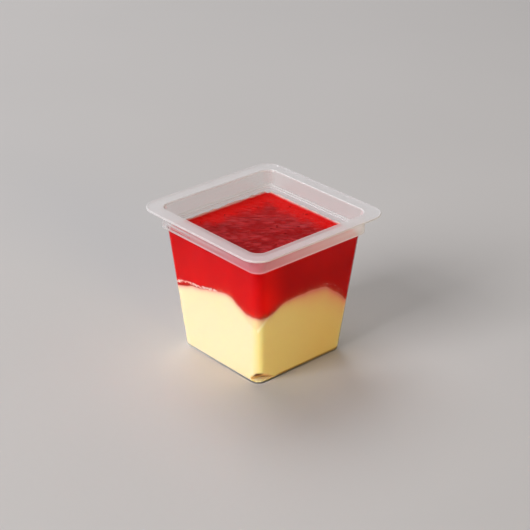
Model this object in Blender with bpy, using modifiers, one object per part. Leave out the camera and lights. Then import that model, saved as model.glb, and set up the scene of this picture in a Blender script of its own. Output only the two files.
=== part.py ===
"""Square dessert cup of clear plastic, filled with custard under a layer of red fruit sauce.

Metres, +Z up. The cup stands on z = 0 with its centre on the Z axis and its sides square to X and Y.
Three pieces, each a closed solid: the cup, the custard, and the sauce that lies on the custard.
"""
import math

import bmesh
import bpy

MM = 0.001

# ---------------------------------------------------------------- driving sizes: the cup
HEIGHT = 54.0 * MM
WALL = 0.7 * MM                 # gauge of the plastic
FLANGE_SIDE = 61.0 * MM         # the flat lip that a lid film would be sealed to
FLANGE_CORNER = 6.6 * MM
COLLAR_TOP_SIDE = 52.3 * MM     # the upright band under the lip, outside
COLLAR_TOP_CORNER = 4.8 * MM
COLLAR_FOOT_SIDE = 51.9 * MM
COLLAR_FOOT_CORNER = 3.9 * MM
LEDGE_Z = 48.0 * MM             # upper face of the step that a disc or a cover can rest on
LEDGE_THICKNESS = 1.45 * MM
BODY_TOP_SIDE = 48.95 * MM      # the tapered body, outside
BODY_CORNER = 3.4 * MM
BASE_SIDE = 40.2 * MM
BASE_ROUND = 1.3 * MM           # how far the bottom edge is rounded
LEDGE_ROUND = 0.4 * MM
FLOOR_ROUND = 0.6 * MM          # inside the bottom edge
LIP_EDGE_ROUND = 0.2 * MM
CORNER_STEPS = 7                # straight runs in each rounded corner
BEND_STEPS = 4                  # straight runs in each rounded bend of the profile

# ---------------------------------------------------------------- driving sizes: the food
GAP = 0.3 * MM                  # kept between pieces that touch
CUSTARD_CREST_Z = 31.45 * MM    # the custard's upper edge along the middle of each side
CUSTARD_DOME = 1.2 * MM         # how far its middle stands above that edge
CUSTARD_LEAN = 0.85 * MM        # how much lower it stands along the +X wall
LEAN_POWER = 4                  # above 1, the lean sets in towards that wall
SAUCE_LEVEL_Z = 45.5 * MM

# The custard sinks at the four corners: which corner, how deep, where the slope starts and ends,
# how hollow the slope is, and how far it goes from straight (0) to S-shaped (1).
CORNER_DIPS = (
    (+1, -1, 3.3 * MM, 4.5 * MM, 13.5 * MM, 1.0, 1.0),
    (-1, -1, 8.3 * MM, 0.0 * MM, 28.0 * MM, 1.2, 0.0),
    (+1, +1, 12.0 * MM, 1.0 * MM, 16.5 * MM, 1.5, 0.0),
    (-1, +1, 7.0 * MM, 1.0 * MM, 21.0 * MM, 1.3, 0.0),
)

# An air pocket at the bottom of the front corner, where the custard did not reach into the plastic.
POCKET_SIDE_X = +1
POCKET_SIDE_Y = -1
POCKET_REACH_X = 3.6 * MM       # its width at the floor along the -Y wall
POCKET_REACH_Y = 7.0 * MM       # its width at the floor along the +X wall
POCKET_HEIGHT = 4.3 * MM        # above the cup's floor
POCKET_ROUNDING = 0.8           # below 1, its slope bulges towards the corner
POCKET_FAR = 1.8                # in pocket widths: the custard is undisturbed this far from the corner

# Shallow wrinkles in the skin of the sauce: height, wavelength, heading in degrees, phase in degrees.
WRINKLES = (
    (0.13 * MM, 7.1 * MM, -43.0, 20.0),
    (0.09 * MM, 4.9 * MM, -58.0, 140.0),
    (0.07 * MM, 9.3 * MM, -12.0, 250.0),
)
WRINKLE_MARGIN = 4.0 * MM       # they fade out this far from the wall

CUSTARD_CELLS = 28
CUSTARD_ROWS = 12
CUSTARD_ROW_SPREAD = 1.5        # above 1, rows lie closer together near the floor
SAUCE_CELLS = 30
SAUCE_ROWS = 6
SAUCE_ROW_SPREAD = 1.0
SETTLING_PASSES = 3             # a point's height and the width there depend on each other

# ---------------------------------------------------------------- sizes that follow
LEDGE_SKIN_Z = LEDGE_Z - LEDGE_THICKNESS     # the outer skin under the ledge
LIP_SKIN_Z = HEIGHT - WALL      # the outer skin under the lip
FLOOR_Z = WALL                  # upper face of the cup's floor
INNER_CORNER = BODY_CORNER - WALL


# ---------------------------------------------------------------- scene and materials
def clear_scene():
    for item in list(bpy.data.objects):
        bpy.data.objects.remove(item, do_unlink=True)


def new_collection(name):
    group = bpy.data.collections.new(name)
    bpy.context.scene.collection.children.link(group)
    return group


def principled(name, colour, roughness, transmission=0.0, ior=1.5):
    material = bpy.data.materials.new(name)
    material.use_nodes = True
    shader = material.node_tree.nodes["Principled BSDF"]
    shader.inputs["Base Color"].default_value = (*colour, 1.0)
    shader.inputs["Metallic"].default_value = 0.0
    shader.inputs["Roughness"].default_value = roughness
    shader.inputs["Transmission Weight"].default_value = transmission
    shader.inputs["IOR"].default_value = ior
    return material


def clear_plastic():
    return principled("clear_plastic", (0.90, 0.90, 0.92), 0.12, transmission=0.85, ior=1.49)


def custard_cream():
    return principled("custard_cream", (0.91, 0.80, 0.46), 0.35)


def fruit_sauce():
    return principled("fruit_sauce", (0.55, 0.012, 0.014), 0.12)


def finish(shape, name, material, group, parent, sharp_angle):
    """Turn a bmesh into the named object, smooth but for its real edges."""
    mesh = bpy.data.meshes.new(name)
    shape.to_mesh(mesh)
    shape.free()
    mesh.materials.append(material)
    mesh.shade_smooth()
    mesh.set_sharp_from_angle(angle=math.radians(sharp_angle))
    item = bpy.data.objects.new(name, mesh)
    item.parent = parent
    group.objects.link(item)
    return item


# ---------------------------------------------------------------- the cup
def rounded_square(side, corner, z):
    """Points of a square with rounded corners, counter-clockwise seen from above."""
    centre = side / 2 - corner
    points = []
    for quarter in range(4):
        turn = quarter * math.pi / 2
        cx = centre * (math.cos(turn) - math.sin(turn))
        cy = centre * (math.sin(turn) + math.cos(turn))
        for step in range(CORNER_STEPS + 1):
            angle = turn + step / CORNER_STEPS * math.pi / 2
            points.append((cx + corner * math.cos(angle), cy + corner * math.sin(angle), z))
    return points


def mix(a, b, share):
    return tuple(p + (q - p) * share for p, q in zip(a, b))


def bend(before, knee, after, reach):
    """Stations of a rounded bend at knee, starting and ending a given reach from it."""
    start = mix(knee, before, reach / math.dist(knee[::2], before[::2]))
    end = mix(knee, after, reach / math.dist(knee[::2], after[::2]))
    stations = []
    for step in range(BEND_STEPS + 1):
        share = step / BEND_STEPS
        stations.append(mix(mix(start, knee, share), mix(knee, end, share), share))
    return stations


def outer_profile():
    """The outer skin from the base to the edge of the lip, as (half side, corner radius, z)."""
    base_middle = (BASE_SIDE / 2 - 2 * BASE_ROUND, BODY_CORNER - BASE_ROUND / 2, 0.0)
    base_edge = (BASE_SIDE / 2, BODY_CORNER, 0.0)
    body_top = (BODY_TOP_SIDE / 2, BODY_CORNER, LEDGE_SKIN_Z)
    collar_foot = (COLLAR_FOOT_SIDE / 2, COLLAR_FOOT_CORNER, LEDGE_SKIN_Z)
    collar_top = (COLLAR_TOP_SIDE / 2, COLLAR_TOP_CORNER, LIP_SKIN_Z)
    lip_edge = (FLANGE_SIDE / 2, FLANGE_CORNER, LIP_SKIN_Z)
    stations = bend(base_middle, base_edge, body_top, BASE_ROUND)
    stations += bend(base_edge, body_top, collar_foot, LEDGE_ROUND)
    stations += bend(body_top, collar_foot, collar_top, LEDGE_ROUND)
    return stations + [collar_top, lip_edge]


def inner_profile():
    """The inner skin from the edge of the lip down to the floor, as (half side, corner radius, z)."""
    lip_edge = (FLANGE_SIDE / 2, FLANGE_CORNER, HEIGHT)
    collar_top = (COLLAR_TOP_SIDE / 2 - WALL, COLLAR_TOP_CORNER - WALL, HEIGHT)
    collar_foot = (COLLAR_FOOT_SIDE / 2 - WALL, COLLAR_FOOT_CORNER - WALL, LEDGE_Z)
    body_top = (inner_half(LEDGE_Z), INNER_CORNER, LEDGE_Z)
    floor_edge = (inner_half(FLOOR_Z), INNER_CORNER, FLOOR_Z)
    floor_middle = (floor_edge[0] - 2 * FLOOR_ROUND, INNER_CORNER - FLOOR_ROUND / 2, FLOOR_Z)
    stations = [lip_edge, collar_top]
    stations += bend(collar_top, collar_foot, body_top, LEDGE_ROUND)
    stations += bend(collar_foot, body_top, floor_edge, LEDGE_ROUND)
    return stations + bend(body_top, floor_edge, floor_middle, FLOOR_ROUND)


def loft(sections):
    """Faces between equal rings of points, closed by the first and the last ring."""
    shape = bmesh.new()
    rings = [[shape.verts.new(point) for point in section] for section in sections]
    for lower, upper in zip(rings, rings[1:]):
        for k in range(len(lower)):
            following = (k + 1) % len(lower)
            shape.faces.new((lower[k], lower[following], upper[following], upper[k]))
    shape.faces.new(list(reversed(rings[0])))
    shape.faces.new(rings[-1])
    return shape


def make_cup(group, parent):
    stations = outer_profile() + inner_profile()
    sections = [rounded_square(2 * half, corner, z) for half, corner, z in stations]
    cup = finish(loft(sections), "cup", clear_plastic(), group, parent, 40.0)
    edge = cup.modifiers.new("lip_edge", "BEVEL")
    edge.width = LIP_EDGE_ROUND
    edge.segments = 2
    edge.limit_method = "ANGLE"
    edge.angle_limit = math.radians(60.0)
    return cup


# ---------------------------------------------------------------- the food
def ease(share, swell):
    """0 to 1 in a slope that goes from straight to S-shaped as swell goes from 0 to 1."""
    share = min(max(share, 0.0), 1.0)
    return (1.0 - swell) * share + swell * share * share * (3.0 - 2.0 * share)


def inner_half(z):
    """Half the width between the cup's walls at a height."""
    share = z / LEDGE_SKIN_Z
    outer = BASE_SIDE + (BODY_TOP_SIDE - BASE_SIDE) * share
    return outer / 2 - WALL


def custard_top(x, y):
    """Height of the custard's upper face."""
    half = inner_half(CUSTARD_CREST_Z)
    middle = (1.0 - (x / half) ** 2) * (1.0 - (y / half) ** 2)
    height = CUSTARD_CREST_Z + CUSTARD_DOME * max(middle, 0.0)
    for side_x, side_y, depth, near, far, hollow, swell in CORNER_DIPS:
        distance = math.hypot(x - side_x * half, y - side_y * half)
        height -= depth * (1.0 - ease((distance - near) / (far - near), swell)) ** hollow
    return height - CUSTARD_LEAN * ((x / half + 1.0) / 2.0) ** LEAN_POWER


def sauce_top(x, y):
    """Height of the sauce's upper face: level, with shallow wrinkles away from the wall."""
    to_wall = inner_half(SAUCE_LEVEL_Z) - max(abs(x), abs(y))
    height = 0.0
    for amount, wavelength, heading, phase in WRINKLES:
        along = x * math.cos(math.radians(heading)) + y * math.sin(math.radians(heading))
        height += amount * math.sin(math.tau * along / wavelength + math.radians(phase))
    return SAUCE_LEVEL_Z + height * ease(to_wall / WRINKLE_MARGIN, 0.5)


def into_rounded_square(u, v, corner_share):
    """Move a point of the square from -1 to 1 so that the square's corners become round."""
    start = 1.0 - corner_share
    a = (abs(u) - start) / corner_share
    b = (abs(v) - start) / corner_share
    if a <= 0.0 or b <= 0.0:
        return u, v
    reach = max(a, b)
    angle = math.pi / 4 * (b / a if a >= b else 2.0 - a / b)
    x = start + corner_share * reach * math.cos(angle)
    y = start + corner_share * reach * math.sin(angle)
    return math.copysign(x, u), math.copysign(y, v)


def in_pocket_widths(from_x, from_y):
    """Distance from the air pocket's corner, measured in widths of the pocket."""
    return math.hypot(from_x / POCKET_REACH_X, from_y / POCKET_REACH_Y)


def clear_of_pocket(x, y, z, half):
    """Push a point away from the front corner as far as the air pocket reaches at its height."""
    corner_x = POCKET_SIDE_X * half
    corner_y = POCKET_SIDE_Y * half
    rounded = INNER_CORNER * (1.0 - math.sqrt(0.5))
    nearest = in_pocket_widths(rounded, rounded)
    distance = in_pocket_widths(x - corner_x, y - corner_y)
    reach = max(1.0 - (z - FLOOR_Z) / POCKET_HEIGHT, 0.0) ** POCKET_ROUNDING
    if reach <= nearest or distance >= POCKET_FAR:
        return x, y
    pushed = reach + (distance - nearest) * (POCKET_FAR - reach) / (POCKET_FAR - nearest)
    return corner_x + (x - corner_x) * pushed / distance, corner_y + (y - corner_y) * pushed / distance


def upright_edges(shape):
    return [edge for edge in shape.edges if abs(edge.verts[0].co.z - edge.verts[1].co.z) > 1.0]


def block(cells, rows):
    """A cube from -1 to 1 in a regular grid: cells across its top, rows down its sides."""
    shape = bmesh.new()
    bmesh.ops.create_cube(shape, size=2.0)
    upright = upright_edges(shape)
    across = [edge for edge in shape.edges if edge not in upright]
    bmesh.ops.subdivide_edges(shape, edges=across, cuts=cells - 1, use_grid_fill=True)
    bmesh.ops.subdivide_edges(shape, edges=upright_edges(shape), cuts=rows - 1, use_grid_fill=True)
    return shape


def fill_cup(cells, rows, lower, upper, row_spread, has_pocket):
    """Shape a block to the inside of the cup between two heights given as functions of x and y."""
    shape = block(cells, rows)
    for vert in shape.verts:
        u, v, w = vert.co
        level = ((w + 1.0) / 2.0) ** row_spread
        half = inner_half(CUSTARD_CREST_Z) - GAP
        for _ in range(SETTLING_PASSES):
            share_x, share_y = into_rounded_square(u, v, INNER_CORNER / half)
            x = share_x * half
            y = share_y * half
            z = lower(x, y) + (upper(x, y) - lower(x, y)) * level
            half = inner_half(z) - GAP
        if has_pocket:
            x, y = clear_of_pocket(x, y, z, half)
        vert.co = (x, y, z)
    return shape


def make_custard(group, parent):
    def floor(x, y):
        return FLOOR_Z + GAP

    shape = fill_cup(CUSTARD_CELLS, CUSTARD_ROWS, floor, custard_top, CUSTARD_ROW_SPREAD, True)
    return finish(shape, "custard", custard_cream(), group, parent, 45.0)


def make_sauce(group, parent):
    def underside(x, y):
        return custard_top(x, y) + GAP

    shape = fill_cup(SAUCE_CELLS, SAUCE_ROWS, underside, sauce_top, SAUCE_ROW_SPREAD, False)
    return finish(shape, "sauce", fruit_sauce(), group, parent, 45.0)


def main():
    clear_scene()
    group = new_collection("dessert_cup")
    stand = bpy.data.objects.new("dessert_cup_stand", None)
    group.objects.link(stand)
    make_cup(group, stand)
    make_custard(group, stand)
    make_sauce(group, stand)


main()
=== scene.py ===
"""Looks of the square dessert cup: clear plastic, pale custard and glossy red fruit sauce."""
import math
import random

import bmesh
import bpy
from mathutils import Matrix, Vector, noise


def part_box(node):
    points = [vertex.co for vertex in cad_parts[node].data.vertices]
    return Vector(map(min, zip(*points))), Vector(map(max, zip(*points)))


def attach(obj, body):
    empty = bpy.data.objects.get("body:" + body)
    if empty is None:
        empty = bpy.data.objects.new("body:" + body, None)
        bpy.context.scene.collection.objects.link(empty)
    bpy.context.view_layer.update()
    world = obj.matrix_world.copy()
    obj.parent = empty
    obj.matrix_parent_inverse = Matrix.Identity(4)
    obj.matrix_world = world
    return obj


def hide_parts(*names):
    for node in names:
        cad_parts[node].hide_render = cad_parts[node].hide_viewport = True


bl_info = {
    "name": "Dessert Cup",
    "version": (1, 0, 0),
    "blender": (4, 5, 0),
    "location": "3D View > Sidebar > Dessert Cup",
    "description": "Dresses a square cup of custard and fruit sauce with its plastic, food and studio",
    "category": "Object",
}

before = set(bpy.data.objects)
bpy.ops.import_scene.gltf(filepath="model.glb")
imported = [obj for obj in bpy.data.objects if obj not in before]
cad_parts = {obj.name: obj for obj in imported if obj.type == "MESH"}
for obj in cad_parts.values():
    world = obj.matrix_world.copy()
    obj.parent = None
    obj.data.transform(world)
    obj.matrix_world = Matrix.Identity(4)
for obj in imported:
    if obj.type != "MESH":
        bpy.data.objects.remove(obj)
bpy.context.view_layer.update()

MM = 0.001
CUP_LOW, CUP_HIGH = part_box("cup")


# ---- settings
def number(name, description, value, **kind):
    return bpy.props.FloatProperty(name=name, description=description, default=value, **kind)


def length(name, description, millimetres):
    kind = {"min": 0.0, "unit": "LENGTH", "subtype": "DISTANCE", "precision": 5}
    return number(name, description, millimetres * MM, **kind)


def colour(place, value):
    return bpy.props.FloatVectorProperty(
        name=place.capitalize(), description="Colour of the " + place, default=value, min=0.0, max=1.0,
        subtype="COLOR",
    )


def share(name, description, value):
    return number(name, description, value, min=0.0, max=1.0, subtype="FACTOR")


def heading(name, description, degrees):
    return number(name, description, math.radians(degrees), subtype="ANGLE")


class CupSizes(bpy.types.PropertyGroup):
    """The moulded cup, outside sizes."""
    height: length("Height", "From the table to the top of the lip", CUP_HIGH.z / MM)
    lip_side: length("Lip Side", "Width of the flat lip", (CUP_HIGH.x - CUP_LOW.x) / MM)
    gauge: length("Gauge", "Thickness of the plastic", 0.7)
    lip_corner: length("Lip Corner", "Corner radius of the lip", 6.6)
    collar_top_side: length("Collar Top", "Width of the upright band under the lip", 52.3)
    collar_top_corner: length("Collar Top Corner", "Corner radius of the band at its top", 4.8)
    collar_foot_side: length("Collar Foot", "Width of the upright band at its foot", 51.9)
    collar_foot_corner: length("Collar Foot Corner", "Corner radius of the band at its foot", 3.9)
    ledge_height: length("Ledge Height", "Height of the ledge's upper face", 48.0)
    ledge_thickness: length("Ledge Thickness", "Thickness of the ledge", 1.45)
    body_top_side: length("Body Top", "Width of the tapered body at its top", 48.95)
    body_corner: length("Body Corner", "Corner radius of the body", 3.4)
    base_side: length("Base Side", "Width of the body at its base", 40.2)
    base_round: length("Base Round", "Rounding of the bottom edge", 0.8)
    ledge_round: length("Ledge Round", "Rounding of the ledge", 0.4)
    floor_round: length("Floor Round", "Rounding inside the bottom edge", 0.6)
    lip_edge_round: length("Lip Edge Round", "Rounding of the lip's two edges", 0.25)
    crease_width: length("Crease Width", "How far the whitening of the plastic spreads from a crease", 0.28)


class FoodSizes(bpy.types.PropertyGroup):
    """The custard and the sauce."""
    crest_height: length("Crest Height", "The custard's upper edge along the middle of a side", 31.45)
    lean: length("Lean", "How much lower the custard stands along its right wall", 0.85)
    dome: length("Dome", "How far the custard's middle stands above its edge", 1.2)
    sauce_level: length("Sauce Level", "Height of the sauce's surface", 45.5)
    wet_depth: length("Wet Depth", "How far the food reaches into the plastic", 0.06)
    edge_wobble: length("Edge Wobble", "Unevenness of the line between custard and sauce", 0.35)
    wrinkle_height: length("Wrinkle Height", "Height of the wrinkles in the sauce", 0.15)
    climb: length("Climb", "How far the sauce climbs up the wall", 0.8)
    pocket_reach_left: length("Pocket Reach Left", "Air pocket's width along the left wall", 3.6)
    pocket_reach_right: length("Pocket Reach Right", "Air pocket's width along the right wall", 7.0)
    pocket_height: length("Pocket Height", "Height of the air pocket above the cup's floor", 4.3)
    pocket_film: length("Pocket Film", "Thin cream left on the floor of the air pocket", 0.35)


class Finishes(bpy.types.PropertyGroup):
    """Colours and gloss."""
    plastic_tint: colour("clear plastic, as a slight tint", (0.99, 0.985, 0.99))
    plastic_haze: colour("haze in the plastic", (0.99, 0.98, 1.0))
    # painted light: the sauce's red glow in the plastic's haze
    plastic_blush: colour("haze where the sauce's red shines in", (1.0, 0.28, 0.36))
    dry_haze: share("Dry Haze", "Haze of the plastic seen square on", 0.06)
    edge_haze: share("Edge Haze", "Haze of the plastic seen along its surface", 0.45)
    crease_haze: share("Crease Haze", "Whitening of the plastic along its creases", 0.6)
    level_haze: share("Level Haze", "Whitening of the lip and the ledge, as a share of the creases'", 0.37)
    # haze added by the sauce's painted red glow
    blush_haze: share("Blush Haze", "Haze that the red of the sauce adds to the plastic", 0.20)
    plastic_roughness: share("Plastic Roughness", "Roughness of the plastic", 0.16)
    custard: colour("custard", (0.95, 0.725, 0.46))
    # painted shading: the tone down the front corner, where the lit left face turns into the shaded right
    # face
    custard_corner: colour("custard along its front corner", (0.86, 0.79, 0.36))
    # painted shade: deeper colour on the custard's side turned from the left lamp
    custard_deep: colour("custard's darker side", (0.88, 0.75, 0.34))
    # painted shade at the far lower right of the custard
    custard_far: colour("custard at the lower right", (0.83, 0.65, 0.27))
    # painted contact shadow along the custard's right bottom edge
    foot_shade: colour("custard's right bottom edge", (0.36, 0.19, 0.05))
    stained: colour("custard where the sauce above tinges it", (0.86, 0.20, 0.20))
    whey: colour("thin cream under the sauce at the front corner", (0.86, 0.66, 0.38))
    # painted highlight along the right edge of the thin cream
    whey_streak: colour("pale streak at the edge of the thin cream", (1.0, 0.96, 0.68))
    # painted shadow at the top of the air pocket, over an amber tint of whey
    pocket_dark: colour("custard at the top of the air pocket", (0.10, 0.030, 0.004))
    # painted light at the foot of the air pocket, where light comes through the plastic
    pocket_pale: colour("custard at the foot of the air pocket", (0.80, 0.53, 0.24))
    sauce_side: colour("sauce against the plastic", (0.63, 0.008, 0.009))
    sauce_side_top: colour("sauce at the top of its side", (0.52, 0.005, 0.008))
    sauce_glow: colour("sauce where light passes through it", (0.95, 0.008, 0.006))
    # real darker streaks, also used as painted shade on the right side and towards the outline
    sauce_dark: colour("sauce's darker streaks", (0.36, 0.0002, 0.0008))
    # painted light: brighter red near the walls, as light coming in through the clear plastic
    sauce_margin: colour("sauce's surface near the wall", (0.72, 0.005, 0.004))
    sauce_top: colour("sauce in the middle of its surface", (0.325, 0.007, 0.009))
    # painted highlight on the wrinkles' crests
    sauce_crest: colour("wrinkles' crests", (0.60, 0.040, 0.048))
    sauce_rim: colour("sauce where it thins out over the custard", (0.82, 0.15, 0.09))
    sauce_film: colour("thin film where the sauce meets the wall", (0.90, 0.62, 0.60))
    seam_line: colour("thin dark line under the froth", (0.42, 0.07, 0.02))


class StageSettings(bpy.types.PropertyGroup):
    """Camera, lamps and floor."""
    view_azimuth: heading("View Azimuth", "Turn of the camera round the cup", 47.824)
    view_elevation: heading("View Elevation", "Camera's height above the horizon", 26.766)
    view_roll: heading("View Roll", "Camera's roll", 0.548)
    view_distance: length("View Distance", "From the camera to the cup's middle", 516.33)
    lens: number("Lens", "Focal length in millimetres", 100.96)
    key_power: number("Key Power", "Left lamp, in watts", 42.0)
    fill_power: number("Fill Power", "Low warm lamp, in watts", 11.5)
    top_power: number("Top Power", "Overhead lamp, in watts", 17.0)
    room_light: number("Room Light", "Even light all round", 0.10)
    floor: colour("floor", (0.645, 0.627, 0.630))


# What the camera and the lamps point at, and half the floor's width.
VIEW_TARGET = Vector((2.912, -1.623, 34.083)) * MM
LAMP_TARGET = Vector((0.0, 0.0, 0.03))
FLOOR_REACH = 4.0

POCKET_ROUNDING = 0.8  # below 1, the air pocket's slope bulges towards the corner
POCKET_FAR = 1.8  # in pocket widths: the custard is undisturbed this far from the front corner
LEAN_POWER = 4  # the higher, the nearer to the right wall the custard's lean sets in

# Where the custard sinks at the corners: corner, depth, start and end of the slope in millimetres, and
# how hollow and how S-shaped the slope is.
CORNER_DIPS = (
    (+1, -1, 3.3, 4.5, 13.5, 1.0, 1.0),
    (-1, -1, 8.3, 0.0, 28.0, 1.2, 0.0),
    (+1, +1, 12.0, 1.0, 16.5, 1.5, 0.0),
    (-1, +1, 7.0, 1.0, 21.0, 1.3, 0.0),
)

# The thin cream under the sauce at the front corner, and the pale streak painted as a highlight along its
# right side: heights of their lowest points, width and length in millimetres, and how steeply they rise.
WHEY_TIP = 22.2
WHEY_RISE_LEFT = 0.55
WHEY_RISE_RIGHT = 1.2
STREAK_FOOT = 22.3
STREAK_RISE = 1.05
STREAK_WIDTH = 1.3
STREAK_LENGTH = 7.5

# Rises and dents of the custard's edge along the two front walls: place, width and height in millimetres.
LEFT_DENTS = ((-21.0, 3.0, 0.5), (-12.5, 3.0, 0.6), (-5.0, 2.0, -0.2), (7.0, 2.5, 0.2), (11.5, 2.2, -0.7))
RIGHT_DENTS = ((-12.0, 7.0, -0.25), (4.5, 3.5, -0.3), (9.8, 2.0, 0.3), (14.0, 2.5, -0.3))


# ---- sums that all pieces share
def sizes():
    return bpy.context.scene.dessert_cup_sizes


def food():
    return bpy.context.scene.dessert_cup_food


def finishes():
    return bpy.context.scene.dessert_cup_finishes


def ease(part, swell=0.5):
    """0 to 1 in a slope that goes from straight to S-shaped as swell goes from 0 to 1."""
    part = min(max(part, 0.0), 1.0)
    return (1.0 - swell) * part + swell * part * part * (3.0 - 2.0 * part)


def mix(a, b, part):
    return tuple(p + (q - p) * part for p, q in zip(a, b))


def inner_half(z):
    """Half the width between the cup's walls at a height."""
    cup = sizes()
    part = z / (cup.ledge_height - cup.ledge_thickness)
    outer = cup.base_side + (cup.body_top_side - cup.base_side) * part
    return outer / 2 - cup.gauge


def past_corner(place):
    """Millimetres round the wall from the front corner, negative on its left."""
    return (place[0] + place[1]) / MM


def on_side(outward, sideways, blend, centre=0.5):
    """1 along the wall that the outward coordinate points to, 0 past the corners at its ends."""
    return ease((outward - abs(sideways)) / blend + centre)


def towards_front(x, y):
    """0 on the far half of the cup, 1 round its front corner."""
    return ease((x - y - 4.0 * MM) / (16.0 * MM))


# ---- shape of the cup
CORNER_STEPS = 14
BEND_STEPS = 8
LONGEST_STEP = 0.5 * MM  # between two rings of points
LEVEL_WITHIN = 0.02 * MM  # a ring this close to a crease's height is on its level face


def rounded_square(half, corner, z):
    """Points of a square with rounded corners, counter-clockwise seen from above."""
    centre = half - corner
    points = []
    for quarter in range(4):
        turn = quarter * math.pi / 2
        cx = centre * (math.cos(turn) - math.sin(turn))
        cy = centre * (math.sin(turn) + math.cos(turn))
        for step in range(CORNER_STEPS + 1):
            angle = turn + step / CORNER_STEPS * math.pi / 2
            points.append((cx + corner * math.cos(angle), cy + corner * math.sin(angle), z))
    return points


def bend(before, knee, after, reach):
    """Stations of a rounded bend at knee, starting and ending a given reach from it."""
    start = mix(knee, before, reach / math.dist(knee[::2], before[::2]))
    end = mix(knee, after, reach / math.dist(knee[::2], after[::2]))
    stations = []
    for step in range(BEND_STEPS + 1):
        part = step / BEND_STEPS
        stations.append(mix(mix(start, knee, part), mix(knee, end, part), part))
    return stations


def outer_profile(cup):
    """The outer skin from base to lip, as (half side, corner radius, z), and its creases' whitening."""
    under_ledge = cup.ledge_height - cup.ledge_thickness
    under_lip = cup.height - cup.gauge
    base_middle = (cup.base_side / 2 - 2 * cup.base_round, cup.body_corner - cup.base_round / 2, 0.0)
    base_edge = (cup.base_side / 2, cup.body_corner, 0.0)
    body_top = (cup.body_top_side / 2, cup.body_corner, under_ledge)
    collar_foot = (cup.collar_foot_side / 2, cup.collar_foot_corner, under_ledge)
    collar_top = (cup.collar_top_side / 2, cup.collar_top_corner, under_lip)
    lip_edge = (cup.lip_side / 2, cup.lip_corner, under_lip)
    stations = bend(base_middle, base_edge, body_top, cup.base_round)
    stations += bend(base_edge, body_top, collar_foot, cup.ledge_round)
    stations += bend(body_top, collar_foot, collar_top, cup.ledge_round)
    stations += [collar_top, lip_edge]
    return stations, ((body_top, 0.15), (collar_foot, 1.0), (collar_top, 0.7), (lip_edge, 1.0))


def inner_profile(cup):
    """The same for the inner skin from the edge of the lip down to the floor."""
    corner = cup.body_corner - cup.gauge
    lip_edge = (cup.lip_side / 2, cup.lip_corner, cup.height)
    collar_top = (cup.collar_top_side / 2 - cup.gauge, cup.collar_top_corner - cup.gauge, cup.height)
    foot_corner = cup.collar_foot_corner - cup.gauge
    collar_foot = (cup.collar_foot_side / 2 - cup.gauge, foot_corner, cup.ledge_height)
    body_top = (inner_half(cup.ledge_height), corner, cup.ledge_height)
    floor_edge = (inner_half(cup.gauge), corner, cup.gauge)
    floor_middle = (floor_edge[0] - 2 * cup.floor_round, corner - cup.floor_round / 2, cup.gauge)
    stations = [lip_edge, collar_top]
    stations += bend(collar_top, collar_foot, body_top, cup.ledge_round)
    stations += bend(collar_foot, body_top, floor_edge, cup.ledge_round)
    stations += bend(body_top, floor_edge, floor_middle, cup.floor_round)
    return stations, ((lip_edge, 1.0), (collar_top, 0.8), (collar_foot, 0.9), (body_top, 0.3))


def refine(stations, longest):
    """Add stations so that none of the runs between them is longer than asked."""
    finer = [stations[0]]
    for before, after in zip(stations, stations[1:]):
        steps = max(1, math.ceil(math.dist(before[::2], after[::2]) / longest))
        finer += [mix(before, after, step / steps) for step in range(1, steps + 1)]
    return finer


def loft(sections, whitening):
    """A skin through equal rings of points, each ring with its share of crease whitening."""
    shape = bmesh.new()
    crease = shape.verts.layers.float.new("crease")
    rings = [[shape.verts.new(point) for point in section] for section in sections]
    for ring, share_here in zip(rings, whitening):
        for vert in ring:
            vert[crease] = share_here
    for lower, upper in zip(rings, rings[1:]):
        for k in range(len(lower)):
            following = (k + 1) % len(lower)
            shape.faces.new((lower[k], lower[following], upper[following], upper[k]))
    shape.faces.new(list(reversed(rings[0])))
    shape.faces.new(rings[-1])
    return shape


# Haze of the plastic away from its creases, as shares of the creases' whitening. Below 0 it clears.
FOOT_BAND = 1.5 * MM  # height of the pale band along the bottom edge
FOOT_BAND_CORNER = 0.5 * MM  # and at the front corner
FOOT_WHITE = 0.5
# painted light: extra whitening on the side that the left lamp reaches
FOOT_WHITE_LIT = 1.1  # more by this where the left lamp reaches
COLLAR_WHITE = 0.45  # at the front corner of the collar
COLLAR_WHITE_LEFT = 0.044  # less by this for each millimetre to its left
COLLAR_WHITE_RIGHT = 0.018  # more by this for each millimetre to its right
COLLAR_RIGHT_END = 0.7  # share of these three at the collar's right end
LEDGE_CLEAR = 0.35  # the front ledge doesn't show through the collar
FAR_WALL_WHITE = 0.38
LEFT_WALL_WHITE = 0.10
LEFT_WALL_CREASES = 0.6  # less by this for the creases there

# Painted light: the sauce's red glow painted into the plastic's haze, as shares of that at the collar's
# front corner.
BLUSH_LIP = 0.12
BLUSH_LEFT = 0.6  # more by this along the collar's left
BLUSH_RIGHT = 0.45  # less by this along its right


def outside_collar(x, y):
    """How far a point lies outside the collar's outer face, seen from above."""
    cup = sizes()
    half = (cup.collar_foot_side + cup.collar_top_side) / 4
    corner = (cup.collar_foot_corner + cup.collar_top_corner) / 2
    return math.hypot(max(abs(x) - half + corner, 0.0), max(abs(y) - half + corner, 0.0)) - corner


def plastic_blush(x, y, z):
    """Share of the sauce's red glow painted into the plastic: most in the outer skin of the front collar."""
    cup = sizes()
    if z < cup.ledge_height - cup.ledge_thickness:
        return 0.0
    if z > cup.height - 1.1 * cup.gauge:
        return BLUSH_LIP * towards_front(x, y)
    if outside_collar(x, y) < -0.5 * cup.gauge:
        return 0.0
    along = past_corner((x, y))
    red = 1.0 + BLUSH_LEFT * ease((-along - 8.0) / 14.0) - BLUSH_RIGHT * ease(along / 10.0)
    return towards_front(x, y) * red


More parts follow.
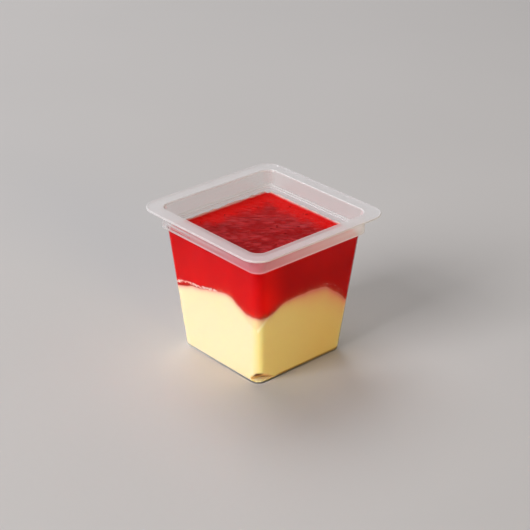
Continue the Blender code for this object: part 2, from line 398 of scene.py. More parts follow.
def foot_whitening(x, y, z):
    """The pale band along the bottom edge: brighter on the left wall as painted light where the left lamp
    falls, lower at the front corner.
    """
    corner = ease((x - y - 34.0 * MM) / (3.0 * MM))
    lit = max(on_side(-y, x, 6.0 * MM), corner)
    band = FOOT_BAND + (FOOT_BAND_CORNER - FOOT_BAND) * corner
    return (FOOT_WHITE + FOOT_WHITE_LIT * lit) * ease(1.0 - z / band)


def collar_whitening(x, y, z):
    """The collar's outer skin: clearer towards the left end of the front, whiter towards the right."""
    cup = sizes()
    along = past_corner((x, y))
    seen = max(towards_front(x, y), COLLAR_RIGHT_END * on_side(x, y, 3.0 * MM, 0.0))
    above_foot = (z - cup.ledge_height + cup.ledge_thickness) / (0.3 * MM)
    white = COLLAR_WHITE + min(COLLAR_WHITE_LEFT * along, COLLAR_WHITE_RIGHT * along)
    return white * seen * ease(above_foot)


def local_whitening(x, y, z, white):
    """Change a point's crease whitening by where it lies round the cup."""
    cup = sizes()
    front = towards_front(x, y)
    outside = outside_collar(x, y)
    if z < FOOT_BAND:
        return foot_whitening(x, y, z)
    if z > cup.height - 1.1 * cup.gauge and outside > -0.25 * MM:
        return white
    if outside > -0.5 * cup.gauge:
        return white + collar_whitening(x, y, z)
    if abs(z - cup.ledge_height) < 0.6 * MM:
        return white * (1.0 - front) - LEDGE_CLEAR * front
    if z > cup.ledge_height:
        white += FAR_WALL_WHITE * on_side(y, x, 4.0 * MM) * (1.0 - front)
        left = on_side(-x, y, 4.0 * MM)
        return white * (1.0 - LEFT_WALL_CREASES * left) + LEFT_WALL_WHITE * left
    return white


def add_object(name, data):
    item = bpy.data.objects.new(name, data)
    bpy.context.scene.collection.objects.link(item)
    return item


def as_object(shape, name, material):
    """Turn a bmesh into a named object of one material."""
    mesh = bpy.data.meshes.new(name)
    shape.to_mesh(mesh)
    shape.free()
    mesh.materials.append(material)
    return add_object(name, mesh)


def as_piece(shape, name, material, sharp_angle=40.0):
    """Turn a bmesh into a smooth piece with a slot for its finish."""
    piece = as_object(shape, name, material)
    piece.data.shade_smooth()
    piece.data.set_sharp_from_angle(angle=math.radians(sharp_angle))
    return piece


def bake_modifiers(piece):
    """Turn the modifiers' result into the piece's own mesh."""
    bpy.context.view_layer.update()
    result = piece.evaluated_get(bpy.context.evaluated_depsgraph_get())
    mesh = bpy.data.meshes.new_from_object(result)
    piece.modifiers.clear()
    piece.data = mesh


# ---- shape of the food
def custard_top(x, y):
    """Height of the custard's upper face."""
    fill = food()
    half = inner_half(fill.crest_height)
    middle = (1.0 - (x / half) ** 2) * (1.0 - (y / half) ** 2)
    height = fill.crest_height + fill.dome * max(middle, 0.0)
    for side_x, side_y, depth, near, far, hollow, swell in CORNER_DIPS:
        distance = math.hypot(x - side_x * half, y - side_y * half) / MM
        height -= depth * MM * (1.0 - ease((distance - near) / (far - near), swell)) ** hollow
    height -= fill.lean * ((x / half + 1.0) / 2.0) ** LEAN_POWER
    for dents, place, from_wall in ((LEFT_DENTS, x, y + half), (RIGHT_DENTS, y, half - x)):
        for along, width, rise in dents:
            fade = max(from_wall, 0.0) / (3.0 * MM)
            height += rise * MM * math.exp(-((place / MM - along) / width) ** 2 - fade)
    uneven = noise.noise(Vector((x, y, 0.0)) / (4.0 * MM))
    uneven += 0.5 * noise.noise(Vector((x, y, 9.0 * MM)) / (1.6 * MM))
    return height + fill.edge_wobble * uneven


def to_wall(x, y):
    return inner_half(food().sauce_level) - max(abs(x), abs(y))


# Wrinkles run along the cup's diagonal: millimetres across and along them, and share of the height.
WRINKLE_SIZES = ((1.1, 3.0, 1.0), (0.55, 1.7, 0.5), (4.0, 8.0, 0.8))


def wrinkles(x, y):
    across = (x - y) / math.sqrt(2)
    along = (x + y) / math.sqrt(2)
    total = 0.0
    for index, (short, long, part) in enumerate(WRINKLE_SIZES):
        sway = 0.35 * math.sin(along / (3.7 * MM) + 2.0 * index)
        spot = Vector((across / (short * MM) + sway, along / (long * MM), 3.7 * index))
        total += part * noise.noise(spot)
    return total


def sauce_top(x, y):
    """Height of the sauce's upper face, wrinkled in the middle and climbing a little at the wall."""
    fill = food()
    edge = to_wall(x, y)
    calm = ease((edge - 1.0 * MM) / (6.0 * MM))
    uneven = 1.0 + 0.6 * noise.noise(Vector((x, y, 5.0 * MM)) / (2.2 * MM))
    rise = fill.climb * uneven * math.exp(-max(edge, 0.0) / (0.3 * MM))
    return fill.sauce_level + fill.wrinkle_height * wrinkles(x, y) * calm + rise


def into_rounded_square(u, v, corner_part):
    """Move a point of the square from -1 to 1 so that the square's corners become round."""
    start = 1.0 - corner_part
    a = (abs(u) - start) / corner_part
    b = (abs(v) - start) / corner_part
    if a <= 0.0 or b <= 0.0:
        return u, v
    reach = max(a, b)
    angle = math.pi / 4 * (b / a if a >= b else 2.0 - a / b)
    x = start + corner_part * reach * math.cos(angle)
    y = start + corner_part * reach * math.sin(angle)
    return math.copysign(x, u), math.copysign(y, v)


def pocket_opening(z):
    """Share of its full width that the front foot's air pocket has at a height."""
    fill = food()
    above_floor = z - sizes().gauge
    open_part = max(1.0 - above_floor / fill.pocket_height, 0.0) ** POCKET_ROUNDING
    return open_part * ease((above_floor + fill.wet_depth) / fill.pocket_film - 0.5)


def in_pocket_widths(x, y, half):
    """Distance from the front corner, measured in widths of the air pocket."""
    return math.hypot((half - x) / food().pocket_reach_left, (y + half) / food().pocket_reach_right)


def clear_of_pocket(x, y, z, half):
    """Push a point away from the front corner as far as the air pocket reaches at its height."""
    rounded = (sizes().body_corner - sizes().gauge) * (1.0 - math.sqrt(0.5))
    nearest = in_pocket_widths(half - rounded, rounded - half, half)
    distance = in_pocket_widths(x, y, half)
    reach = pocket_opening(z)
    if reach <= nearest or distance >= POCKET_FAR:
        return x, y
    pushed = reach + (distance - nearest) * (POCKET_FAR - reach) / (POCKET_FAR - nearest)
    return half + (x - half) * pushed / distance, -half + (y + half) * pushed / distance


def block(cells, rows):
    """A cube from -1 to 1 in a regular grid: cells across its top, rows down its sides."""
    shape = bmesh.new()
    bmesh.ops.create_cube(shape, size=2.0)
    upright = [e for e in shape.edges if abs(e.verts[0].co.z - e.verts[1].co.z) > 1.0]
    across = [e for e in shape.edges if e not in upright]
    bmesh.ops.subdivide_edges(shape, edges=across, cuts=cells - 1, use_grid_fill=True)
    upright = [e for e in shape.edges if abs(e.verts[0].co.z - e.verts[1].co.z) > 1.0]
    bmesh.ops.subdivide_edges(shape, edges=upright, cuts=rows - 1, use_grid_fill=True)
    return shape


def fill_cup(cells, rows, lower, upper, row_spread, has_pocket):
    """Shape a block to the inside of the cup between two heights given as functions of x and y."""
    cup = sizes()
    fill = food()
    shape = block(cells, rows)
    corner = cup.body_corner - cup.gauge
    for vert in shape.verts:
        u, v, w = vert.co
        level = ((w + 1.0) / 2.0) ** row_spread
        half = inner_half(fill.crest_height) + fill.wet_depth
        for _ in range(3):
            part_x, part_y = into_rounded_square(u, v, corner / half)
            x = part_x * half
            y = part_y * half
            low = lower(x, y)
            z = low + (upper(x, y) - low) * level
            half = inner_half(z) + fill.wet_depth
        if has_pocket:
            x, y = clear_of_pocket(x, y, z, half)
        vert.co = (x, y, z)
    return shape


def note(shape, **rules):
    """Keep numbers for each point, worked out from its place, for the material to read."""
    for name, rule in rules.items():
        layer = shape.verts.layers.float.new(name)
        for vert in shape.verts:
            vert[layer] = rule(vert.co)


# ---- materials
class Graph:
    """A node tree, with short calls to add and join nodes."""

    def __init__(self, tree):
        self.tree = tree

    def add(self, kind, values=None, **settings):
        node = self.tree.nodes.new(kind)
        for key, value in settings.items():
            setattr(node, key, value)
        for key, value in (values or {}).items():
            self.put(node.inputs[key], value)
        return node

    def put(self, socket, value):
        if isinstance(value, bpy.types.NodeSocket):
            self.tree.links.new(value, socket)
        elif isinstance(value, bpy.types.Node):
            self.tree.links.new(value.outputs[0], socket)
        elif socket.type == "RGBA" and len(value) == 3:
            socket.default_value = (*value, 1.0)
        else:
            socket.default_value = value


class Finish(Graph):
    """A material's node tree. Patterns follow the piece's own place, and notes are its points' numbers."""

    def __init__(self, name):
        self.material = bpy.data.materials.new(name)
        self.material.use_nodes = True
        super().__init__(self.material.node_tree)
        self.tree.nodes.clear()
        self.output = self.add("ShaderNodeOutputMaterial")

    def noted(self, name):
        return self.add("ShaderNodeAttribute", attribute_name=name).outputs["Fac"]

    def speckle(self, scale, detail=3.0, stretch=(1.0, 1.0, 1.0), turn=0.0):
        place = self.add("ShaderNodeTexCoord").outputs["Object"]
        values = {"Vector": place, "Scale": stretch, "Rotation": (0.0, 0.0, turn)}
        placed = self.add("ShaderNodeMapping", values, vector_type="TEXTURE")
        values = {"Vector": placed, "Scale": scale, "Detail": detail}
        return self.add("ShaderNodeTexNoise", values).outputs["Fac"]

    def remap(self, value, low, high, to_low=0.0, to_high=1.0, smooth=False):
        kind = "SMOOTHSTEP" if smooth else "LINEAR"
        values = {"Value": value, "From Min": low, "From Max": high, "To Min": to_low, "To Max": to_high}
        return self.add("ShaderNodeMapRange", values, interpolation_type=kind).outputs["Result"]

    def uneven(self, scale, low, high, detail=3.0):
        """A value that wanders between low and high in spots of a scale."""
        return self.remap(self.speckle(scale, detail), 0.3, 0.7, low, high)

    def facing(self):
        return self.add("ShaderNodeLayerWeight", {"Blend": 0.5}).outputs["Facing"]

    def blend(self, part, first, second):
        return self.add("ShaderNodeMix", {0: part, 6: first, 7: second}, data_type="RGBA").outputs[2]

    def math(self, operation, first, second=0.0):
        return self.add("ShaderNodeMath", {0: first, 1: second}, operation=operation).outputs[0]

    def plus(self, first, second):
        return self.math("ADD", first, second)

    def times(self, first, second):
        return self.math("MULTIPLY", first, second)

    def bump(self, height, strength, distance):
        return self.add("ShaderNodeBump", {"Height": height, "Strength": strength, "Distance": distance})

    def done(self, shader):
        self.put(self.output.inputs["Surface"], shader)
        return self.material

    def solid(self, **values):
        """Finish with one Principled shader, its sockets named with underscores for spaces."""
        values = {key.replace("_", " "): value for key, value in values.items()}
        return self.done(self.add("ShaderNodeBsdfPrincipled", values))


def plastic_milk(g, look):
    """The haze in the plastic: it scatters light both back and through, tinted with the sauce's painted red
    glow.
    """
    # the sauce's painted red glow tints the haze
    tone = g.blend(g.noted("blush"), look.plastic_haze, look.plastic_blush)
    front = g.add("ShaderNodeBsdfDiffuse", {"Color": tone})
    through = g.add("ShaderNodeBsdfTranslucent", {"Color": tone})
    return g.add("ShaderNodeMixShader", {0: 0.12, 1: front, 2: through})


def clear_plastic():
    """The dry plastic of the lip, collar and ledge: a thin milky sheet, whiter along its creases."""
    look = finishes()
    g = Finish("clear_plastic")
    facing = g.facing()
    haze = g.remap(facing, 0.3, 0.8, look.dry_haze, look.edge_haze)
    haze = g.times(haze, g.uneven(90.0, 0.92, 1.08))
    haze = g.plus(haze, g.times(g.noted("crease"), look.crease_haze))
    haze = g.plus(haze, g.times(g.noted("blush"), look.blush_haze))
    sheet = g.add("ShaderNodeBsdfTransparent", {"Color": look.plastic_tint})
    body = g.add("ShaderNodeMixShader", {0: haze, 1: sheet, 2: plastic_milk(g, look)})
    gloss = g.add("ShaderNodeBsdfGlossy", {"Color": (1.0, 1.0, 1.0), "Roughness": look.plastic_roughness})
    mirror = g.plus(g.times(g.math("POWER", facing, 5.0), 0.9), 0.02)
    mirror = g.plus(mirror, g.times(g.math("MAXIMUM", g.noted("crease")), 0.07))
    return g.done(g.add("ShaderNodeMixShader", {0: mirror, 1: body, 2: gloss}))


def filled_plastic():
    """The plastic with food behind it: clear, and milky only along its edges."""
    look = finishes()
    g = Finish("filled_plastic")
    along = g.remap(g.facing(), 0.78, 1.0, 0.0, 0.5, smooth=True)
    haze = g.plus(along, g.times(g.noted("crease"), look.crease_haze))
    roughness = g.uneven(60.0, look.plastic_roughness * 0.9, look.plastic_roughness * 1.1)
    clear = g.add("ShaderNodeBsdfPrincipled", {
        "Base Color": look.plastic_tint, "Roughness": roughness, "IOR": 1.12, "Transmission Weight": 1.0,
    })
    body = g.add("ShaderNodeMixShader", {0: haze, 1: clear, 2: plastic_milk(g, look)})
    open_way = g.add("ShaderNodeBsdfTransparent", {"Color": (0.93, 0.93, 0.93)})
    ray = g.add("ShaderNodeLightPath").outputs["Is Shadow Ray"]
    return g.done(g.add("ShaderNodeMixShader", {0: ray, 1: body, 2: open_way}))


def custard_cream():
    """Smooth set custard, with the thin cream at the front corner and the brown of the air pocket painted as
    shadow; painted shade on its right side and foot, painted shading down its front corner.
    """
    look = finishes()
    g = Finish("custard_cream")
    cloud = g.remap(g.speckle(60.0), 0.35, 0.65, -0.08, 0.08)
    # painted shade towards the right side, with real random cloudiness
    tone = g.blend(g.plus(g.noted("deep_side"), cloud), look.custard, look.custard_deep)
    # painted shade towards the far lower right
    tone = g.blend(g.noted("far_side"), tone, look.custard_far)
    # painted shading down the front corner
    tone = g.blend(g.noted("corner"), tone, look.custard_corner)
    tone = g.blend(g.noted("whey"), tone, look.whey)
    # painted highlight streak
    tone = g.blend(g.noted("streak"), tone, look.whey_streak)
    faded = g.math("DIVIDE", g.times(g.noted("below_sauce"), -1.0), g.noted("stain_reach"))
    tone = g.blend(g.math("EXPONENT", faded), tone, look.stained)
    # painted contact shadow at the right foot
    tone = g.blend(g.noted("foot_shade"), tone, look.foot_shade)
    # painted shading of the air pocket: shadow at its top, lighter at its foot
    brown = g.blend(g.noted("pocket_depth"), look.pocket_pale, look.pocket_dark)
    tone = g.blend(g.noted("pocket"), tone, brown)
    return g.solid(
        Base_Color=tone, Roughness=g.uneven(500.0, 0.5, 0.6),
        Subsurface_Weight=1.0, Subsurface_Radius=(1.0, 0.85, 0.45),
        Subsurface_Scale=g.remap(g.noted("corner"), 0.0, 1.0, 2.2 * MM, 5.0 * MM),
        IOR=1.38, Specular_IOR_Level=0.0, Normal=g.bump(g.speckle(900.0, 2.0), 0.12, 0.04 * MM),
    )


def sauce_against_wall():
    """Red sauce pressed to the plastic: no gloss of its own, orange where it thins over the custard, with
    painted shade on its right side and towards its outline.
    """
    look = finishes()
    g = Finish("sauce_against_wall")
    streak = g.remap(g.speckle(150.0, 4.0, (1.0, 1.0, 2.9)), 0.35, 0.72)
    # painted shade on the right side, added to real darker streaks
    darker = g.plus(g.times(streak, 0.35), g.times(g.noted("deep_side"), 0.45))
    side = g.blend(g.noted("raised"), look.sauce_side, look.sauce_side_top)
    tone = g.blend(darker, side, look.sauce_dark)
    tone = g.blend(g.noted("glow"), tone, look.sauce_glow)
    # painted shade towards the outline, where the surface turns away from view
    tone = g.blend(g.remap(g.facing(), 0.7, 0.95, smooth=True), tone, look.sauce_dark)
    faded = g.math("DIVIDE", g.noted("above_custard"), g.times(g.uneven(700.0, 0.5, 1.4), -0.7 * MM))
    tone = g.blend(g.times(g.math("EXPONENT", faded), g.noted("thin")), tone, look.sauce_rim)
    dot = g.remap(g.speckle(1500.0, 1.0), 0.69, 0.76, 0.0, 0.5)
    tone = g.blend(dot, tone, look.sauce_rim)
    seam = g.remap(g.noted("above_custard"), 0.0, 0.4 * MM, 1.0, 0.0)
    tone = g.blend(g.times(seam, g.noted("seam")), tone, look.seam_line)
    return g.solid(
        Base_Color=tone, Roughness=g.uneven(400.0, 0.5, 0.6),
        Subsurface_Weight=1.0, Subsurface_Radius=(1.0, 0.10, 0.07),
        Subsurface_Scale=g.remap(g.noted("glow"), 0.0, 1.0, 3.0 * MM, 9.0 * MM),
        IOR=1.40, Specular_IOR_Level=0.0,
    )


def sauce_surface():
    """The sauce's open face: glossy, dull crimson in the middle and bright red along the walls as painted
    light, with painted highlights on the wrinkles' crests.
    """
    look = finishes()
    g = Finish("sauce_surface")
    inward = g.plus(g.noted("to_wall"), g.noted("near_front"))
    ragged = g.uneven(160.0, -2.2 * MM, 2.2 * MM, 4.0)
    middle = g.remap(g.plus(inward, ragged), 2.5 * MM, 10.0 * MM, smooth=True)
    patches = g.speckle(260.0, 4.0, (3.0, 1.0, 1.0), math.pi / 4)
    patchy = g.times(middle, g.remap(patches, 0.25, 0.65, 0.75, 1.0))
    # painted light near the walls, darker crimson in the middle
    tone = g.blend(patchy, look.sauce_margin, look.sauce_top)
    # painted highlight on the wrinkles' crests
    crest = g.times(g.remap(g.noted("wrinkle"), -0.2, 0.5, smooth=True), middle)
    tone = g.blend(g.times(crest, 0.6), tone, look.sauce_crest)
    tone = g.blend(g.remap(g.noted("climbed"), 0.1, 0.9, smooth=True), tone, look.sauce_film)
    relief = g.speckle(620.0, 3.0, (3.2, 1.0, 1.0), math.pi / 4)
    return g.solid(
        Base_Color=tone, Roughness=g.uneven(400.0, 0.22, 0.34),
        Subsurface_Weight=0.6, Subsurface_Radius=(1.0, 0.10, 0.07), Subsurface_Scale=1.5 * MM,
        IOR=1.38, Specular_IOR_Level=0.06, Normal=g.bump(relief, 0.6, 0.14 * MM),
    )


def air_bubble():
    """Pale froth trapped against the plastic."""
    g = Finish("air_bubble")
    tone = g.blend(g.remap(g.speckle(800.0), 0.35, 0.65), (0.93, 0.42, 0.34), (0.98, 0.74, 0.66))
    return g.solid(Base_Color=tone, Roughness=g.uneven(600.0, 0.2, 0.35))


def fruit_fleck():
    """Dark scraps of fruit skin and seed in the sauce."""
    g = Finish("fruit_fleck")
    tone = g.blend(g.remap(g.speckle(900.0), 0.35, 0.65), (0.10, 0.002, 0.003), (0.26, 0.006, 0.006))
    return g.solid(Base_Color=tone, Roughness=g.uneven(600.0, 0.45, 0.6), Specular_IOR_Level=0.0)


def pale_floor():
    look = bpy.context.scene.dessert_cup_stage
    g = Finish("pale_floor")
    tone = g.blend(g.uneven(6.0, 0.0, 1.0), look.floor, tuple(0.97 * part for part in look.floor))
    return g.solid(Base_Color=tone, Roughness=0.6)


# ---- small repeated pieces
def scatter_tree(material):
    """Squashed pebbles along a line or on loose points, of uneven size and heading."""
    g = Graph(bpy.data.node_groups.new("scatter_pebbles", "GeometryNodeTree"))
    face = g.tree.interface
    for name, kind in (
        ("Geometry", "Geometry"), ("Smallest", "Float"), ("Largest", "Float"), ("Stretch", "Vector"),
        ("Turn", "Vector"), ("Jitter", "Vector"), ("Seed", "Int"),
    ):
        face.new_socket(name, in_out="INPUT", socket_type="NodeSocket" + kind)
    face.new_socket("Geometry", in_out="OUTPUT", socket_type="NodeSocketGeometry")
    given = g.add("NodeGroupInput").outputs

    def drawn(kind, low, high, step):
        """A random value for each pebble, between low and high."""
        seed = g.add("ShaderNodeMath", {0: given["Seed"], 1: step}, operation="ADD")
        node = g.add("FunctionNodeRandomValue", {"Seed": seed}, data_type=kind)
        lowest, highest = [socket for socket in node.inputs if socket.enabled][:2]
        g.put(lowest, low)
        g.put(highest, high)
        return next(socket for socket in node.outputs if socket.enabled)

    def either_way(name, step):
        reverse = g.add("ShaderNodeVectorMath", {0: given[name], "Scale": -1.0}, operation="SCALE")
        return drawn("FLOAT_VECTOR", reverse, given[name], step)

    shift = either_way("Jitter", 1)
    moved = g.add("GeometryNodeSetPosition", {"Geometry": given["Geometry"], "Offset": shift})
    length_here = drawn("FLOAT", given["Smallest"], given["Largest"], 2)
    size = g.add("ShaderNodeVectorMath", {0: given["Stretch"], "Scale": length_here}, operation="SCALE")
    placed = g.add("GeometryNodeInstanceOnPoints", {
        "Points": moved, "Scale": size, "Rotation": either_way("Turn", 3),
        "Instance": g.add("GeometryNodeMeshIcoSphere", {"Radius": 1.0, "Subdivisions": 2}),
    })
    real = g.add("GeometryNodeRealizeInstances", {0: placed})
    smooth = g.add("GeometryNodeSetShadeSmooth", {"Geometry": real})
    painted = g.add("GeometryNodeSetMaterial", {"Geometry": smooth, "Material": material})
    g.add("NodeGroupOutput", {0: painted})
    return g.tree


def scatter(name, points, tree, **values):
    """An object of pebbles on the given points, as plain mesh."""
    mesh = bpy.data.meshes.new(name)
    mesh.from_pydata(points, [], [])
    item = add_object(name, mesh)
    nodes = item.modifiers.new("pebbles", "NODES")
    nodes.node_group = tree
    sockets = {s.name: s.identifier for s in tree.interface.items_tree if s.in_out == "INPUT"}
    for key, value in values.items():
        nodes[sockets[key.title()]] = value
    bake_modifiers(item)
    return item


def join(name, items, material):
    """One object out of several meshes that share their place and their material."""
    shape = bmesh.new()
    for item in items:
        shape.from_mesh(item.data)
        bpy.data.objects.remove(item, do_unlink=True)
    for face in shape.faces:
        face.material_index = 0
    return as_piece(shape, name, material, 180.0)


def on_front_wall(x, z):
    return (x, -inner_half(z) - food().wet_depth, z)


def on_right_wall(y, z):
    return (inner_half(z) + food().wet_depth, y, z)


def spread(stops, count, on_wall):
    """Points on a wall, spread along a few stops given in millimetres."""
    points = []
    for k in range(count):
        place = k / (count - 1) * (len(stops) - 1)
        index = min(int(place), len(stops) - 2)
        along, height = mix(stops[index], stops[index + 1], place - index)
        points.append(on_wall(along * MM, height * MM))
    return points


# Lines of froth on the two front walls: distance along the wall and height, in millimetres.
FRONT_FROTH = (
    (-19.6, 26.0), (-18.3, 26.6), (-15.5, 27.4), (-12.6, 28.0), (-10.4, 28.2), (-8.0, 28.3), (-6.0, 28.9),
    (-3.2, 29.7), (0.0, 30.4), (1.4, 30.6),
)
RIGHT_FROTH = ((8.0, 31.4), (12.0, 30.0), (15.0, 27.6), (18.6, 23.6))


# ---- operators
class DESSERTCUP_OT_cup(bpy.types.Operator):
    """Mould the cup with its ledge, collar and flat lip"""
    bl_idname = "dessertcup.cup"
    bl_label = "Cup"

    def execute(self, context):
        cup = sizes()
        sections = []
        whitening = []
        for stations, creases in (outer_profile(cup), inner_profile(cup)):
            for station in refine(stations, LONGEST_STEP):
                white = 0.0
                for knee, part in creases:
                    away = math.dist(station[::2], knee[::2]) / cup.crease_width
                    white = max(white, part * math.exp(-away ** 2))
                    if abs(station[2] - knee[2]) < LEVEL_WITHIN:
                        white = max(white, finishes().level_haze)
                sections.append(rounded_square(*station))
                whitening.append(white)
        piece = as_piece(loft(sections, whitening), "moulded_cup", clear_plastic())
        piece.data.materials.append(filled_plastic())
        edge = piece.modifiers.new("lip_edge", "BEVEL")
        edge.width = cup.lip_edge_round
        edge.segments = 4
        edge.limit_method = "ANGLE"
        edge.angle_limit = math.radians(60.0)
        bake_modifiers(piece)
        # each point's share of the sauce's painted red glow
        blush = piece.data.attributes.new("blush", "FLOAT", "POINT")
        crease = piece.data.attributes["crease"]
        for vert, red, white in zip(piece.data.vertices, blush.data, crease.data):
            x, y, z = vert.co
            red.value = plastic_blush(x, y, z)
            white.value = local_whitening(x, y, z, white.value)
        for face in piece.data.polygons:
            if face.center.z < food().sauce_level:
                face.material_index = 1
        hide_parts("cup")
        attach(piece, "root")
        return {"FINISHED"}


class DESSERTCUP_OT_custard(bpy.types.Operator):
    """Fill the lower part of the cup with custard"""
    bl_idname = "dessertcup.custard"
    bl_label = "Custard"

    def execute(self, context):
        cup = sizes()
        fill = food()
        floor = cup.gauge - fill.wet_depth

        def whey(place):
            """The thin cream in a V under the sauce, round the front corner."""
            half = inner_half(place.z)
            across = (half - place.x) / MM
            aside = (half + place.y) / MM
            rise = WHEY_RISE_LEFT if across > aside else WHEY_RISE_RIGHT
            lowest = WHEY_TIP + rise * max(max(across, aside) - 1.0, 0.0)
            return ease(place.z / MM - lowest) if min(across, aside) < 4.0 else 0.0

        def streak(place):
            """The painted highlight: a pale streak that rises along the right side of the thin cream."""
            beyond = past_corner(place)
            if beyond < 0.0:
                return 0.0
            away = abs(place.z / MM - STREAK_FOOT - STREAK_RISE * beyond)
            return ease(1.0 - away / STREAK_WIDTH) * ease((STREAK_LENGTH - beyond) / 2.0)

        # painted shading along the front corner
        def corner(place):
            return math.exp(-((past_corner(place) - 1.5) / 1.8) ** 2) if place.x > place.y else 0.0

        def far_side(place):
            """Painted shade: the custard darker and warmer at the far end of its right side, deeper near the
            foot.
            """
            low = 1.0 - place.z / fill.crest_height
            return ease((past_corner(place) - 6.0) / 28.0) * (0.6 + 0.6 * low)

        # painted contact shadow: darkest at the floor, round the right wall from past the front corner
        def foot_shade(place):
            above_floor = (place.z - floor) / MM
            return ease(1.3 - above_floor / 0.7) * ease((past_corner(place) - 7.0) / 3.0)

        def stain_reach(place):
            """How far down the sauce's tinge fades to a third: further along the right wall."""
            return (0.8 + 2.4 * ease(past_corner(place) / 24.0, 0.0) ** 2.7) * MM

        def pocket(place):
            """1 on the custard's slope inside the air pocket, 0 elsewhere."""
            away = in_pocket_widths(place.x, place.y, inner_half(place.z))
            below_top = 1.0 - (place.z - cup.gauge) / fill.pocket_height
            inside = ease(1.6 - 9.0 * (away - min(max(below_top, 0.0), 1.0) ** POCKET_ROUNDING))
            return inside * ease(below_top / 0.12 - 0.5)

        def pocket_depth(place):
            """Share of painted shadow: 1 in the dark at the top of the air pocket's middle, 0 at its foot
            and its ends.
            """
            return ease((place.z / MM - 0.8) / 2.2) * ease((2.8 - past_corner(place)) / 1.8)

        shape = fill_cup(110, 60, lambda x, y: floor, custard_top, 1.5, True)
        note(
            shape, corner=corner, far_side=far_side, foot_shade=foot_shade, stain_reach=stain_reach,
            whey=whey, streak=streak, pocket=pocket, pocket_depth=pocket_depth,
            below_sauce=lambda place: custard_top(place.x, place.y) - place.z,
            # painted shade on the custard's right side
            deep_side=lambda place: ease(past_corner(place) / 8.0 + 0.5),
        )
        piece = as_piece(shape, "set_custard", custard_cream())
        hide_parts("custard")
        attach(piece, "root")
        return {"FINISHED"}


class DESSERTCUP_OT_sauce(bpy.types.Operator):
    """Pour the fruit sauce over the custard"""
    bl_idname = "dessertcup.sauce"
    bl_label = "Sauce"

    def execute(self, context):
        fill = food()

        def glow(place):
            """1 where light passes through the sauce at the front corner, 0 elsewhere."""
            beyond = past_corner(place)
            tongue = ease((29.5 - place.z / MM) / 3.0)
            low = 0.45 + 0.4 * ease((42.0 - place.z / MM) / 10.0) + 0.25 * tongue
            return ease(beyond / 4.0 + tongue) * ease((13.5 - beyond) / 9.0) * min(low, 1.0)

        def deep_side(place):
            """Painted shade: 1 on the darker right side, less again at its upper right."""
            beyond = past_corner(place)
            lighter = ease((beyond - 8.0) / 16.0) * ease((place.z / MM - 36.5) / 5.0)
            return ease((beyond + 3.5) / 12.0) * (1.0 - 0.9 * lighter)

        def near_front(place):
            """How much further the middle's crimson reaches towards the wall at the front, where the painted
            wall light is left out.
            """
            return (7.5 * ease((place.x - place.y + 20.0 * MM) / (50.0 * MM)) - 2.0) * MM

        def seam(place):
            """1 along the left of the front wall, where a dark line runs under the froth."""
            return ease((-2.0 * MM - place.x) / (3.0 * MM)) * ease((-18.0 * MM - place.y) / MM)

        shape = fill_cup(150, 30, custard_top, sauce_top, 1.0, False)
        note(
            shape, glow=glow, deep_side=deep_side, near_front=near_front, seam=seam,
            above_custard=lambda place: place.z - custard_top(place.x, place.y),
            to_wall=lambda place: inner_half(place.z) + fill.wet_depth - max(abs(place.x), abs(place.y)),
            wrinkle=lambda place: wrinkles(place.x, place.y),
            climbed=lambda place: (place.z - fill.sauce_level) / fill.climb,
            raised=lambda place: ease((place.z / MM - 29.0) / 16.0, 0.0),
            thin=lambda place: 0.85 * ease(place.x / (8.0 * MM) + 1.0),
        )
        piece = as_piece(shape, "poured_sauce", sauce_against_wall())
        piece.data.materials.append(sauce_surface())
        for face in piece.data.polygons:
            if face.normal.z > 0.3 and face.center.z > fill.sauce_level - 2.0 * MM:
                face.material_index = 1
        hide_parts("sauce")
        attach(piece, "root")
        return {"FINISHED"}


class DESSERTCUP_OT_froth(bpy.types.Operator):
    """Trap small bubbles against the plastic where sauce meets custard"""
    bl_idname = "dessertcup.froth"
    bl_label = "Froth"

    def execute(self, context):
        froth = air_bubble()
        tree = scatter_tree(froth)
        front = spread(FRONT_FROTH, 110, on_front_wall)
        right = spread(RIGHT_FROTH, 16, on_right_wall)
        rows = [
            scatter("front_froth", front, tree, smallest=0.08 * MM, largest=0.34 * MM, seed=3,
                    stretch=(1.5, 0.3, 0.8), turn=(0.0, 0.5, 0.0), jitter=(0.5 * MM, 0.0, 0.4 * MM)),
            scatter("right_froth", right, tree, smallest=0.05 * MM, largest=0.16 * MM, seed=8,
                    stretch=(0.25, 1.5, 0.8), turn=(0.6, 0.0, 0.0), jitter=(0.0, 0.6 * MM, 0.5 * MM)),
        ]
        piece = join("seam_froth", rows, froth)
        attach(piece, "root")
        return {"FINISHED"}


class DESSERTCUP_OT_flecks(bpy.types.Operator):
    """Scatter scraps of fruit through the top of the sauce"""
    bl_idname = "dessertcup.flecks"
    bl_label = "Fruit Flecks"

    def execute(self, context):
        draw = random.Random(11)
        spots = [(-8.8, 20.8), (-1.4, 20.3), (-20.4, -10.5), (-2.6, 19.0), (-0.4, 21.0)]
        spots += [(draw.uniform(-20, 20), draw.uniform(-20, 20)) for _ in range(26)]
        points = [(x * MM, y * MM, sauce_top(x * MM, y * MM) - 0.05 * MM) for x, y in spots]
        skin = fruit_fleck()
        flecks = scatter("flecks", points, scatter_tree(skin), smallest=0.16 * MM, largest=0.42 * MM, seed=5,
                         stretch=(1.6, 0.8, 0.35), turn=(0.12, 0.12, 3.1), jitter=(0.0, 0.0, 0.03 * MM))
        piece = join("fruit_flecks", [flecks], skin)
        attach(piece, "root")
        return {"FINISHED"}


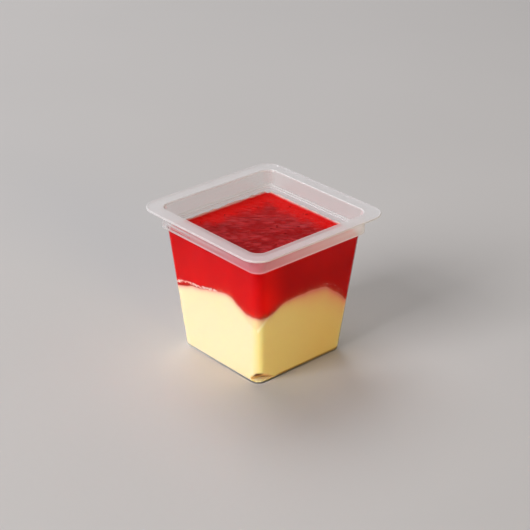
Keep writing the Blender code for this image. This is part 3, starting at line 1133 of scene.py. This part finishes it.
class DESSERTCUP_OT_stage(bpy.types.Operator):
    """Set the floor, the lamps and the camera"""
    bl_idname = "dessertcup.stage"
    bl_label = "Studio"

    def execute(self, context):
        stage = context.scene.dessert_cup_stage
        shape = bmesh.new()
        bmesh.ops.create_grid(shape, x_segments=2, y_segments=2, size=FLOOR_REACH)
        floor = as_object(shape, "floor", pale_floor())

        for name, place, side, power, tint in (
            ("key_lamp", (-0.15, -2.10, 1.35), 1.1, stage.key_power, (1.0, 0.985, 0.975)),
            ("fill_lamp", (2.2, -0.3, 0.55), 0.8, stage.fill_power, (1.0, 0.72, 0.31)),
            ("top_lamp", (-1.1, 0.3, 1.65), 1.2, stage.top_power, (1.0, 1.0, 1.0)),
        ):
            light = bpy.data.lights.new(name, "AREA")
            light.size = side
            light.energy = power
            light.color = tint
            lamp = add_object(name, light)
            lamp.location = place
            lamp.rotation_euler = (LAMP_TARGET - lamp.location).to_track_quat("-Z", "Y").to_euler()

        world = bpy.data.worlds.new("room")
        world.use_nodes = True
        room = world.node_tree.nodes["Background"].inputs
        room["Color"].default_value = (0.97, 0.98, 1.0, 1.0)
        room["Strength"].default_value = stage.room_light
        context.scene.world = world
        context.scene.view_settings.view_transform = "Standard"

        camera = add_object("camera", bpy.data.cameras.new("camera"))
        camera.data.lens = stage.lens
        camera.data.sensor_width = 36.0
        camera.data.clip_start = 0.01
        turn, tilt = stage.view_azimuth, stage.view_elevation
        back = Vector((math.sin(turn) * math.cos(tilt), -math.cos(turn) * math.cos(tilt), math.sin(tilt)))
        looking = (-back).to_track_quat("-Z", "Y").to_matrix() @ Matrix.Rotation(stage.view_roll, 3, "Z")
        camera.matrix_world = Matrix.Translation(VIEW_TARGET + back * stage.view_distance) @ looking.to_4x4()
        context.scene.camera = camera
        return {"FINISHED"}


class DESSERTCUP_PT_sidebar(bpy.types.Panel):
    """Buttons for each part of the dessert cup"""
    bl_idname = "DESSERTCUP_PT_sidebar"
    bl_label = "Dessert Cup"
    bl_space_type = "VIEW_3D"
    bl_region_type = "UI"
    bl_category = "Dessert Cup"

    def draw(self, context):
        for maker in OPERATORS:
            self.layout.operator(maker.bl_idname)
        for group in SETTINGS:
            box = self.layout.box()
            box.label(text=group.__doc__)
            values = getattr(context.scene, SETTINGS[group])
            for name in group.__annotations__:
                box.prop(values, name)


OPERATORS = (
    DESSERTCUP_OT_cup, DESSERTCUP_OT_custard, DESSERTCUP_OT_sauce, DESSERTCUP_OT_froth,
    DESSERTCUP_OT_flecks, DESSERTCUP_OT_stage,
)
SETTINGS = {
    CupSizes: "dessert_cup_sizes",
    FoodSizes: "dessert_cup_food",
    Finishes: "dessert_cup_finishes",
    StageSettings: "dessert_cup_stage",
}


def register():
    for group, name in SETTINGS.items():
        bpy.utils.register_class(group)
        setattr(bpy.types.Scene, name, bpy.props.PointerProperty(type=group))
    for maker in (*OPERATORS, DESSERTCUP_PT_sidebar):
        bpy.utils.register_class(maker)


def unregister():
    for maker in (DESSERTCUP_PT_sidebar, *reversed(OPERATORS)):
        bpy.utils.unregister_class(maker)
    for group, name in SETTINGS.items():
        delattr(bpy.types.Scene, name)
        bpy.utils.unregister_class(group)


def main():
    register()
    bpy.ops.dessertcup.cup()
    bpy.ops.dessertcup.custard()
    bpy.ops.dessertcup.sauce()
    bpy.ops.dessertcup.froth()
    bpy.ops.dessertcup.flecks()
    bpy.ops.dessertcup.stage()


if __name__ == "__main__":
    main()
